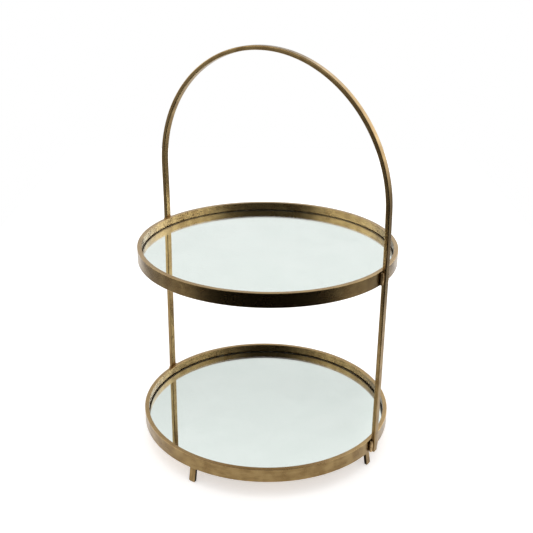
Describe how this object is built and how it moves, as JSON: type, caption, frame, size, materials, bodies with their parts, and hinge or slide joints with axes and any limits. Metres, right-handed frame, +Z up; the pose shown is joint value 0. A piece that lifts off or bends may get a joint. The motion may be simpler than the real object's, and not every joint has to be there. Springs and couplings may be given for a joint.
{
  "type": "tiered cake stand",
  "caption": "Tiered serving stand: round mirrored trays with raised flat-bar rims, carried between the legs of a tall arched handle, on short splayed feet.",
  "frame": {"origin": "on the table, under the middle of the stand", "axes": "+Z up; the arched handle stands in the XZ plane with a leg at +X and a leg at -X"},
  "size_m": [0.3106, 0.3, 0.4683],
  "materials": {
    "antique_brass": "antiqued, brushed along the bar, edges rubbed bright",
    "plate_brass": "antiqued sheet, duller, unpolished underside",
    "mirror": "clear float glass silvered on its back, ground edge",
    "mounting_pad": "black closed-cell adhesive foam"
  },
  "bodies": {
    "root": {"lower_rim": "antique_brass", "lower_base_plate": "plate_brass", "lower_mirror_pad": "mounting_pad", "lower_mirror": "mirror", "upper_rim": "antique_brass", "upper_base_plate": "plate_brass", "upper_mirror_pad": "mounting_pad", "upper_mirror": "mirror", "handle": "antique_brass", "foot_right": "antique_brass", "foot_back": "antique_brass", "foot_left": "antique_brass", "foot_front": "antique_brass", "leg_weld_lower_right_front": "antique_brass", "leg_weld_lower_right_back": "antique_brass", "leg_weld_lower_left_front": "antique_brass", "leg_weld_lower_left_back": "antique_brass", "leg_weld_upper_right_front": "antique_brass", "leg_weld_upper_right_back": "antique_brass", "leg_weld_upper_left_front": "antique_brass", "leg_weld_upper_left_back": "antique_brass", "foot_weld_right": "plate_brass", "foot_weld_back": "plate_brass", "foot_weld_left": "plate_brass", "foot_weld_front": "plate_brass"}
  },
  "joints": []
}
